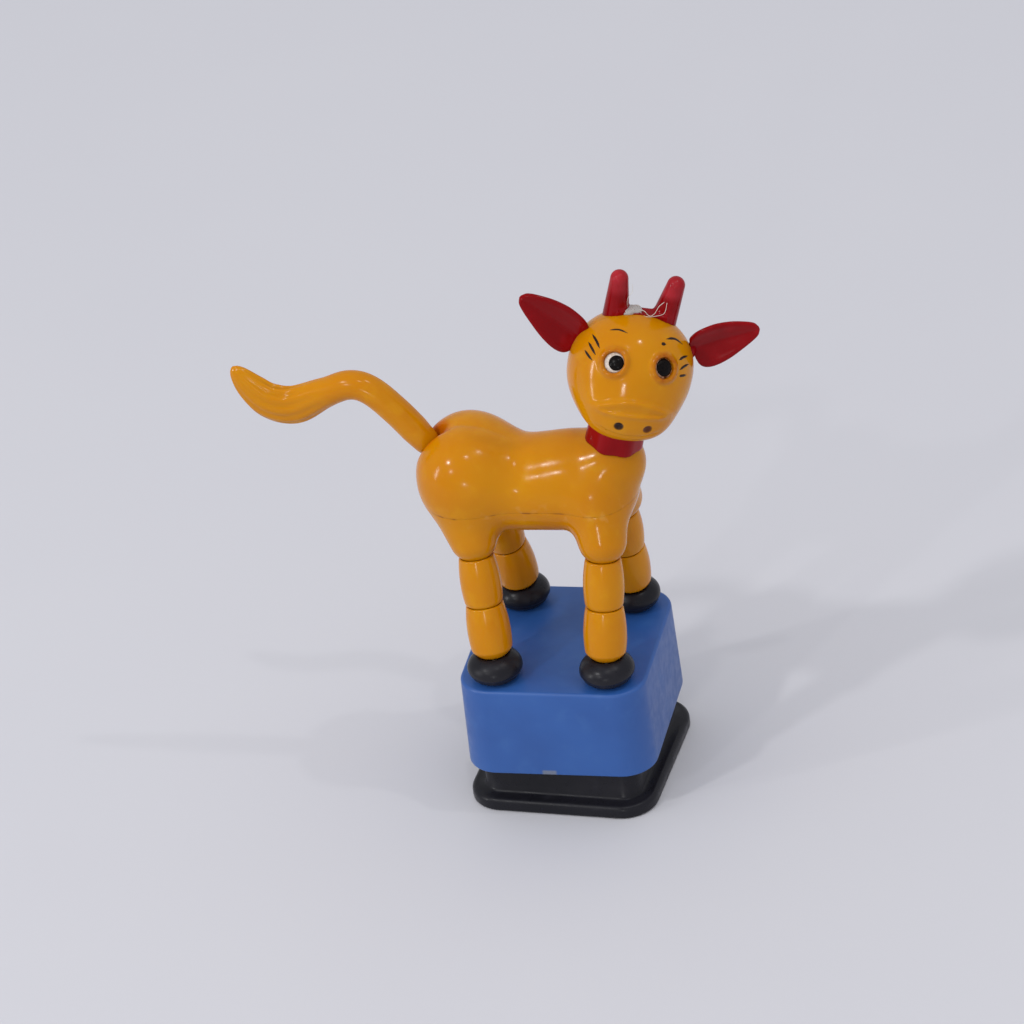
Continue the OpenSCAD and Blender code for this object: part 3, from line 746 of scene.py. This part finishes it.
# Body
BARREL_HIND, BARREL_HIND_R = (RUMP_X + 3.4, 0, 52.9), 7.6
BARREL_FRONT, BARREL_FRONT_R = (CHEST_X - 0.2, 0, 52.8), 7.3
HAUNCH, HAUNCH_R = np.array([RUMP_X - 0.6, 1.9, RUMP_Z]), 7.6
WITHERS, WITHERS_RADII = np.array([7.4, 0, 55.6]), np.array([6.5, 5.4, 5.9])
BACK, BACK_RADII = np.array([3.2, 0, 55.6]), np.array([7.2, 5.0, 5.15])
HIND_THIGH, HIND_THIGH_R = (RUMP_X - 0.9, 2.9, 53.0), 6.1
FRONT_THIGH, FRONT_THIGH_R = (CHEST_X + 0.6, 2.4, 52.4), 5.2
GROOVE_LOW, GROOVE_LOW_R = TAIL_ROOT + [-1.2, 0, -0.4], 2.6
GROOVE_HIGH, GROOVE_HIGH_R = TAIL_ROOT + [4.6, 0, 4.9], 0.9
SEAT_PLAY = 0.02


def body_field(p):
    """Barrel, haunches, withers, back, neck and thighs run together, with a groove for the tail."""
    half = mirrored(p)
    d = limb(p, BARREL_HIND, BARREL_HIND_R, BARREL_FRONT, BARREL_FRONT_R)
    d = soft_min(d, ball(half, HAUNCH, HAUNCH_R), 4.0)
    d = soft_min(d, egg(p, WITHERS, WITHERS_RADII), 2.5)
    d = soft_min(d, egg(p, BACK, BACK_RADII), 3.0)
    d = soft_min(d, ball(p, DOME, DOME_R - SEAT_PLAY), 1.2)
    d = soft_min(d, limb(half, hip("hind_left"), BALL_R - SEAT_PLAY, HIND_THIGH, HIND_THIGH_R), 2.0)
    d = soft_min(d, limb(half, hip("front_left"), BALL_R - SEAT_PLAY, FRONT_THIGH, FRONT_THIGH_R), 2.0)
    groove = limb(p, GROOVE_LOW, GROOVE_LOW_R, GROOVE_HIGH, GROOVE_HIGH_R)
    return soft_max(d, -groove, 0.9)


def body():
    """The lower and the upper half, which meet at a fine seam."""
    seam_gap = 0.01
    low, high = np.array([-23, -13, 41.5]), np.array([19, 13, 66])
    points, faces = sculpt(body_field, low, high, 0.4)
    finish = body_finish()
    for name, way in (("body_lower", 1), ("body_upper", -1)):
        obj = make(name + "_shell", points, faces, finish, None)
        keep_side(obj, (0, 0, SEAM_Z - seam_gap * way), (0, 0, way))
        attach(obj, "torso")
        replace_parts(obj, name)


def tail():
    """A wavy stem that widens to a flat tuft with moulded hair."""
    route = [TAIL_ROOT, (-21.95, 0, 65.25), (-25.7, 0, 69.1), (-29, 0, 70.05), (-33.2, 0, 68.5),
             (-38.2, 0, 66.3), (-41.8, 0, 66.8), (-44.6, 0, 69.2), (-47.3, 0, 73)]
    stem, tuft_h, tuft_t, sides, count = 2.3, 3.3, 1.85, 48, 110
    tuft_from, tuft_over, tip_from, tip_over = 3.6, 1.6, 5.4, 2.6
    hairs, hair_depth, hair_sway = 10, 0.13, 1.3
    path = curve_through(route, count)
    tangent = np.gradient(path, axis=0)
    a = np.linspace(0, 2 * math.pi, sides, endpoint=False)
    rings = []
    for i, (p, t) in enumerate(zip(path, tangent)):
        s = i / (count - 1) * (len(route) - 1)
        share = np.clip((s - tuft_from) / tuft_over, 0, 1)
        share = share * share * (3 - 2 * share)
        tip = math.sqrt(max(0.004, 1 - (max(0, s - tip_from) / tip_over) ** 2))
        root = min(1, 0.9 + 0.25 * s)
        across = unit([t[2], 0, -t[0]])
        h = (stem + (tuft_h - stem) * share) * tip * root
        w = (stem + (tuft_t - stem) * share) * tip * root
        hair = 1 - hair_depth * share * tip * (0.5 + 0.5 * np.cos(hairs * a + hair_sway * s)) ** 3
        rings.append(p + np.outer(h * hair * np.cos(a), across) + np.outer(w * hair * np.sin(a), [0, 1, 0]))
    way = unit(tangent[0])
    first = path[0] - way
    spread = rings[0] - path[0]
    root_end = [first + 0.05 * spread, first + 0.7 * spread, first + 0.35 * way + 0.94 * spread]
    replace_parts(make("tail_moulding", *skin(root_end + rings), YELLOW, "tail"), "tail")


# Neck and head
def neck_collar():
    """A short red bead, faintly lobed, cupped to sit on the neck and under the head."""
    lobes, lobe_depth, taper, height, head_play = 7, 0.1, 0.03, 6.2, 0.06

    def field(p):
        q = (p - COLLAR_AT) @ NECK
        out = np.hypot(q[:, 0], q[:, 1])
        a = np.arctan2(q[:, 1], q[:, 0])
        d = out - (COLLAR_R - taper * q[:, 2] + lobe_depth * (np.cos(lobes * a) - 1))
        d = soft_max(d, q[:, 2] - height, 0.6)
        d = soft_max(d, -0.05 - q[:, 2], 1.0)
        d = soft_max(d, -ball(p, DOME, DOME_R + JOINT_GAP), 0.4)
        d = soft_max(d, -ball(p, HEAD_AT, HEAD_R + JOINT_GAP + head_play), 0.3)
        return soft_max(d, HOLE_R - out, 0.1)

    middle, room = COLLAR_AT + 2.5 * NECK[:, 2], 6.5
    mesh = sculpt(field, middle - room, middle + room, 0.2)
    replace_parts(make("neck_collar_bead", *mesh, RED, "collar"), "neck_collar")


# Face, in the head's frame: X to the face, Y to its left, Z along the neck
CROWN, CROWN_RADII = np.array([0, 0, 2.0]), np.array([8.0, 9.3, 7.6])
MUZZLE, MUZZLE_RADII = np.array([4.6, 0, -2.9]), np.array([5.85, 6.75, 4.75])
MUZZLE_SQUARE = 2.4
NOSTRILS = np.array([[10.75, 2.9, -3.25], [10.95, -1.8, -3.1]])
NOSTRIL_R = 0.85
EYE_OUT = 3.9
EYE_UP = 5.83
EYE_R = 1.6

# Two folds over the nose and the mouth: height, bow, relief, width above and below, and reach to a side
FACE_LINES = ((1.4, 0.064, 0.52, 0.2, 1.0, 6.6),
              (-0.72, 0.014, 0.38, 0.17, 0.7, 5.6),
              (-5.0, -0.042, -0.2, 0.24, 0.24, 5.2))


def to_row(q):
    """Points of the head's frame in the row's frame."""
    return np.asarray(q, float) @ HEAD.T + HEAD_AT


def eye_dir(side):
    return unit([math.sqrt(HEAD_R**2 - EYE_OUT**2 - EYE_UP**2), side * EYE_OUT, EYE_UP])


def face_field(q):
    """Skull and broad muzzle, with folds over the nose, a mouth line, nostrils and eye sockets."""
    half = mirrored(q)
    d = np.linalg.norm(q, axis=-1) - (HEAD_R - 0.03)
    d = soft_min(d, egg(q, CROWN, CROWN_RADII), 0.8)
    d = soft_min(d, boxy(q, MUZZLE, MUZZLE_RADII, MUZZLE_SQUARE), 2.4)
    ahead = np.clip((q[:, 0] - 5) / 2, 0, 1)
    for middle, bow, relief, above, below, reach in FACE_LINES:
        line = q[:, 2] - (middle - bow * q[:, 1] ** 2)
        line = line / np.where(line > 0, above, below)
        d = d - ahead * relief * np.exp(-line * line) * np.clip((reach - half[:, 1]) / 1.4, 0, 1)
    for place in NOSTRILS:
        d = soft_max(d, -ball(q, place, NOSTRIL_R), 0.2)
    return with_eye_sockets(d, half)


def with_eye_sockets(d, half):
    """Adds a round lip and a well for each eye."""
    lip_out, lip_sink, lip_r, well_depth = 0.3, 0.22, 0.45, 0.45
    far = 9.0
    e = eye_dir(1)
    out = half @ e
    off = np.linalg.norm(half - np.outer(out, e), axis=-1)
    lip = np.hypot(off - EYE_R - lip_out, out - HEAD_R + lip_sink) - lip_r
    d = soft_min(d, np.where(out > 0, lip, far), 0.6)
    well = np.maximum(off - EYE_R, HEAD_R - well_depth - out)
    return soft_max(d, -np.where(out > 0, well, far), 0.3)


def on_face(points, lift):
    """Points dropped onto the face and lifted off it a little."""
    p = settle(face_field, np.asarray(points, float), 1.0)
    return p + lift * unit_rows(slope(face_field, p))


def head():
    """The face and the back of the head, which meet at a fine parting."""
    parting_gap, lip = 0.015, 0.02
    low, high = np.array([-10.4, -10.4, -10.4]), np.array([11.4, 10.4, 10.4])
    points, faces = sculpt(face_field, low, high, 0.22)
    finish = face_finish()
    for name, way in (("head_front", -1), ("head_back", 1)):
        obj = make(name + "_shell", to_row(points), faces, finish, None)
        keep_side(obj, to_row([PARTING_X - parting_gap * way, 0, 0]), HEAD @ [way, 0, 0], lip)
        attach(obj, "head")
        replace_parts(obj, name)


def dome_cap(centre, normal, radius, height, sides=40, rings=8):
    """Points and faces of a shallow domed disc."""
    angles = np.linspace(0, math.pi / 2 - 0.02, rings)
    outline = [(radius * math.cos(a), height * math.sin(a)) for a in angles]
    points, faces = skin(spun([(radius, -0.15)] + outline, sides))
    return along(points, centre, normal), faces


def eyes():
    """A disc sunk in each socket, white on the right and brown on the left, with a pupil that looks to the
    left.
    """
    kinds = ((1, "left", 0.05, 1.36, EYE_BROWN_WHITE), (-1, "right", 0.32, 1.2, EYE_WHITE))
    white_sink, pupil_sink, pupil_up = 0.42, 0.3, np.array([0, 0, 0.08])
    for side, name, glance, pupil_r, rim in kinds:
        e = eye_dir(side)
        points, faces = dome_cap(e * (HEAD_R - white_sink), e, EYE_R - 0.02, 0.4)
        make("eye_white_" + name, to_row(points), faces, rim, "head")
        middle = e * (HEAD_R - pupil_sink) + unit(np.cross([0, 0, 1], e)) * glance + pupil_up
        points, faces = dome_cap(middle, e, pupil_r, 0.5)
        make("eye_pupil_" + name, to_row(points), faces, EYE_BLACK, "head")


def stroke(name, points, width, taper=(0.25, 0.3)):
    """A painted stroke on the face, thin at its ends."""
    section = ((-1, -0.05), (-0.7, 0.0), (0, 0.03), (0.7, 0.0), (1, -0.05), (0, -0.15))
    middle = on_face(curve_through(points, 25), 0.03)
    t = np.linspace(0, 1, len(middle))
    half = width / 2 * np.clip(np.minimum(t / taper[0], (1 - t) / taper[1]), 0.12, 1) ** 0.7
    normal = unit_rows(slope(face_field, middle))
    across = unit_rows(np.cross(np.gradient(middle, axis=0), normal))
    rows = [middle + across * (share * half)[:, None] + normal * rise for share, rise in section]
    points, faces = skin(np.stack(rows, 1))
    make(name, to_row(points), faces, BROWN, "head")


def painted_face():
    """Lashes, brows and a slip of the brush, each where the photo has it."""
    lashes = {"right": (((1.3, -6.8, 6.6), (2.9, -6.3, 6.6), (4.1, -5.9, 6.3)),
                        ((2.2, -7.3, 5.8), (3.5, -6.9, 5.7), (4.6, -6.4, 5.4)),
                        ((2.9, -7.7, 4.8), (3.9, -7.3, 4.7), (4.9, -6.8, 4.6))),
              "left": (((4.3, 6.1, 6.0), (3.4, 6.7, 5.9), (2.3, 7.5, 5.5)),
                       ((5.2, 6.4, 4.9), (4.2, 7.1, 4.9), (3.1, 7.8, 4.6)),
                       ((5.7, 6.5, 4.1), (5.2, 7.0, 3.9), (4.5, 7.7, 3.6)))}
    for side, strokes in lashes.items():
        for k, points in enumerate(strokes):
            stroke(f"lash_{side}_{k}", points, 0.44)
    stroke("brow_right", ((1.9, -4.6, 8.2), (2.2, -3.4, 8.7), (3.0, -2.1, 8.8)), 0.34)
    stroke("brow_left", ((2.7, 3.8, 8.35), (1.75, 5.2, 7.85), (1.55, 6.5, 6.85)), 0.46)
    stroke("brush_slip", ((3.95, 3.1, 8.2), (3.7, 3.4, 8.15), (3.6, 3.75, 8.0)), 0.6)


def horns():
    """Two tapered horns on one bridge that fits the crown."""
    sink, bridge_half, bridge_x, off_centre = 1.4, 0.95, HORN_X + 1.0, 0.25
    tilt = math.radians(HORN_LEAN)
    way = np.array([0, math.sin(tilt), math.cos(tilt)])
    foot = np.array([HORN_X, HORN_Y, math.sqrt(HEAD_R**2 - HORN_X**2 - HORN_Y**2)])
    low, tip = foot - sink * way, foot + (HORN_LEN - HORN_TIP_R) * way

    def field(q):
        half = mirrored(q - [0, off_centre, 0])
        d = limb(half, low, HORN_R, tip, HORN_TIP_R)
        bridge = np.maximum(q[:, 2] - BRIDGE_TOP, np.abs(q[:, 0] - bridge_x) - bridge_half)
        bridge = np.maximum(bridge, half[:, 1] - HORN_Y)
        return soft_max(soft_min(d, bridge, 0.6), HEAD_R + 0.02 - np.linalg.norm(q, axis=-1), 0.12)

    points, faces = sculpt(field, np.array([-6, -7, 5]), np.array([1, 7, 18]), 0.2)
    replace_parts(make("horn_pair", to_row(points), faces, horn_finish(), "head"), "horns")


def ear_leaf(length, stand_off):
    """Rings of a leaf with a broad blunt root, a hollowed face with a valley and a rolled rim."""
    # Share of the length, and half width below and above the middle
    outline = curve_through([(0, 0.5, 0.42), (0.015, 0.74, 0.58), (0.06, 0.92, 0.72), (0.15, 1, 0.88),
                             (0.28, 0.98, 0.98), (0.46, 0.86, 1), (0.66, 0.66, 0.85), (0.84, 0.46, 0.58),
                             (0.95, 0.29, 0.34), (1, 0.08, 0.08)], 72)
    hollow_depth, hollow_half, valley_depth, valley_half = 0.4, 0.8, 0.25, 0.2
    a = np.linspace(0, 2 * math.pi, 48, endpoint=False)
    v = np.cos(a)
    rounded = np.abs(np.sin(a)) ** 0.6 * np.sign(np.sin(a)) / 2
    hollow = hollow_depth * np.clip(1 - (v / hollow_half) ** 2, 0, 1)
    valley = valley_depth * np.exp(-((v / valley_half) ** 2))
    carved = (hollow + valley) * (np.sin(a) > 0)
    rings = []
    for t, below, above in outline:
        width = (below + above) / 2
        half = EAR_W / 2 * np.where(v > 0, above, below)
        swell = math.sin(math.pi * np.clip(t, 0.001, 0.999) ** 0.6) ** 0.5
        bowl = 0.8 * width * width * (v * v - 0.4) - 1.3 * (t - 0.4) ** 2 + 0.2
        thick = EAR_T * (0.75 + 0.4 * swell) * min(1, 4 * width) * rounded
        out = np.full(len(a), stand_off + length * t)
        rings.append(np.column_stack([bowl + thick - swell * carved, out, half * v]))
    return rings


def ear(side, name, reach, stand_off, rise):
    """A leaf on a short peg in the head's side."""
    peg_r, peg_in, peg_out = 1.3, 2.5, 0.6
    leaf = skin(ear_leaf(reach - stand_off, stand_off))
    peg_path = [(0, y, 0) for y in np.linspace(-peg_in, stand_off + peg_out, 12)]
    peg = skin(tube(peg_path, [peg_r] * 9 + [1.1, 0.7, 0.3], 24))
    faces = leaf[1] + [tuple(i + len(leaf[0]) for i in f) for f in peg[1]]
    root = np.array([PARTING_X, math.sqrt(HEAD_R**2 - PARTING_X**2 - EAR_Z**2), EAR_Z])
    points = np.vstack([leaf[0], peg[0]]) @ turn("X", rise).T + root
    if side < 0:
        faces = [f[::-1] for f in faces]
    obj = make(f"ear_{name}_leaf", to_row(points * [1, side, 1]), faces, RED, "head")
    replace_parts(obj, "ear_" + name)


def head_knot():
    """The string's end on the bridge: a knot under a cloudy drop, with loose filaments."""
    middle = np.array([HORN_X + 0.8, -0.9, BRIDGE_TOP + 0.05])
    drop, drop_radii = middle + [0.5, -1.2, -0.3], np.array([0.8, 0.95, 0.45])
    knot_radii = np.array([1.0, 1.25, 0.5])
    lump, waves, cross_waves = 0.1, 2.6 * np.array([1, 0.7, 0.4]), 2.2 * np.array([0.2, 1, 0.9])

    def field(q):
        d = soft_min(egg(q, middle, knot_radii), egg(q, drop, drop_radii), 0.5)
        return d - lump * np.sin(q @ waves) * np.cos(q @ cross_waves)

    points, faces = sculpt(field, middle - [2.2, 3.4, 2], middle + [2.2, 2.4, 2], 0.18)
    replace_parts(make("head_string_knot", to_row(points), faces, resin_finish(), "head"), "head_string")
    routes = {"end": (0.04, [(0.2, 0, 0), (0.9, 1.2, 0.5), (1.5, 2.1, 0.1),
                             (2.0, 2.7, 0.9), (1.8, 3.2, 2.2), (1.5, 3.9, 2.9)]),
              "stray": (0.035, [(0.3, 0.4, 0.2), (1.3, 1.6, -0.2), (2.1, 3.0, 0.6),
                                (1.9, 4.2, 1.2), (1.2, 4.4, 2.6)]),
              "lint": (0.03, [(0.2, -1.2, 0.1), (0.5, -1.5, 2.1), (0.3, -1.0, 3.4), (0.2, -1.3, 4.6)])}
    for name, (radius, route) in routes.items():
        points, faces = skin(tube(curve_through(np.array(route) + middle, 60), radius, 8))
        make("head_string_" + name, to_row(points), faces, STRING, "head")


def strings():
    """The hidden stretches keep their CAD solids, with the string's finish."""
    for name, node in frame["nodes"].items():
        if "string" in name:
            node.data.materials.clear()
            node.data.materials.append(STRING.material)


# Stage, lamps and camera
def floor():
    half = 3000
    f = Finish("floor_sheet", Roughness=0.75)
    f.colour(f.mix(f.noise(60, 2), srgb(194, 193, 198), srgb(197, 196, 200)))
    corners = [(-half, -half, 0), (half, -half, 0), (half, half, 0), (-half, half, 0)]
    make("floor", corners, [(0, 1, 2, 3)], f, None)


def lamp(name, place, target, width, height, power):
    data = bpy.data.lights.new(name, "AREA")
    data.shape = "ELLIPSE"
    data.size = width * MM
    data.size_y = height * MM
    data.energy = power
    obj = bpy.data.objects.new(name, data)
    obj.location = Vector(place) * MM
    obj.rotation_euler = (Vector(target) - Vector(place)).to_track_quat("-Z", "Y").to_euler()
    bpy.context.scene.collection.objects.link(obj)


def surroundings():
    """Even light from all round, darker where it is seen directly or in a reflection."""
    strength, seen_strength = 0.93, 0.5
    world = bpy.context.scene.world or bpy.data.worlds.new("World")
    bpy.context.scene.world = world
    world.use_nodes = True
    nodes, links = world.node_tree.nodes, world.node_tree.links
    background = nodes["Background"]
    background.inputs["Color"].default_value = (0.93, 0.95, 1.0, 1)
    path = nodes.new("ShaderNodeLightPath")
    seen = nodes.new("ShaderNodeMath")
    links.new(path.outputs["Is Glossy Ray"], seen.inputs[0])
    links.new(path.outputs["Is Camera Ray"], seen.inputs[1])
    level = nodes.new("ShaderNodeMath")
    level.operation = "MULTIPLY_ADD"
    links.new(seen.outputs[0], level.inputs[0])
    level.inputs[1].default_value = seen_strength - strength
    level.inputs[2].default_value = strength
    links.new(level.outputs[0], background.inputs["Strength"])


def lights():
    """Small lamps that give crisp highlights, each by its direction, size and power."""
    surroundings()
    lamps = (("key", -132, 48, 50, 50, 1.2),
             ("front", -114, 32, 28, 28, 0.5),
             ("left", -150, 15, 26, 400, 1.3),
             ("high_left", -68, 69, 32, 32, 0.5),
             ("high_right", -2, 66, 30, 30, 0.5),
             ("low_front", -86, 8, 60, 12, 0.4))
    aim, distance = np.array([-2, 0, 55]), 900
    for name, azimuth, elevation, width, height, power in lamps:
        a, e = math.radians(azimuth), math.radians(elevation)
        way = np.array([math.cos(a) * math.cos(e), math.sin(a) * math.cos(e), math.sin(e)])
        lamp(name, aim + distance * way, aim, width, height, power)


def camera():
    """The photo's camera: its direction, roll, distance and field of view."""
    azimuth, elevation, roll = math.radians(16.7), math.radians(33.0), math.radians(-8.0)
    target, distance = Vector((-5.9, 0, 47.1)), 963
    flat = math.cos(elevation)
    back = Vector((math.sin(azimuth) * flat, -math.cos(azimuth) * flat, math.sin(elevation)))
    data = bpy.data.cameras.new("camera")
    data.sensor_width = 36
    data.lens = 218.4
    data.clip_start, data.clip_end = 0.05, 20
    obj = bpy.data.objects.new("camera", data)
    level = (-back).to_track_quat("-Z", "Y").to_matrix()
    rolled = level @ Matrix.Rotation(roll, 3, "Z")
    obj.matrix_world = Matrix.Translation((target + back * distance) * MM) @ rolled.to_4x4()
    bpy.context.scene.collection.objects.link(obj)
    bpy.context.scene.camera = obj


camera()
lights()
floor()
base_box()
push_button()
coil_spring()
base_strings()
for leg in LEGS:
    hoof(leg)
    leg_beads(leg)
body()
tail()
neck_collar()
head()
eyes()
painted_face()
horns()
ear(1, "left", 11.2, 0.5, 29)
ear(-1, "right", 11.7, -0.5, 31)
head_knot()
strings()

bpy.context.scene.view_settings.view_transform = "Standard"
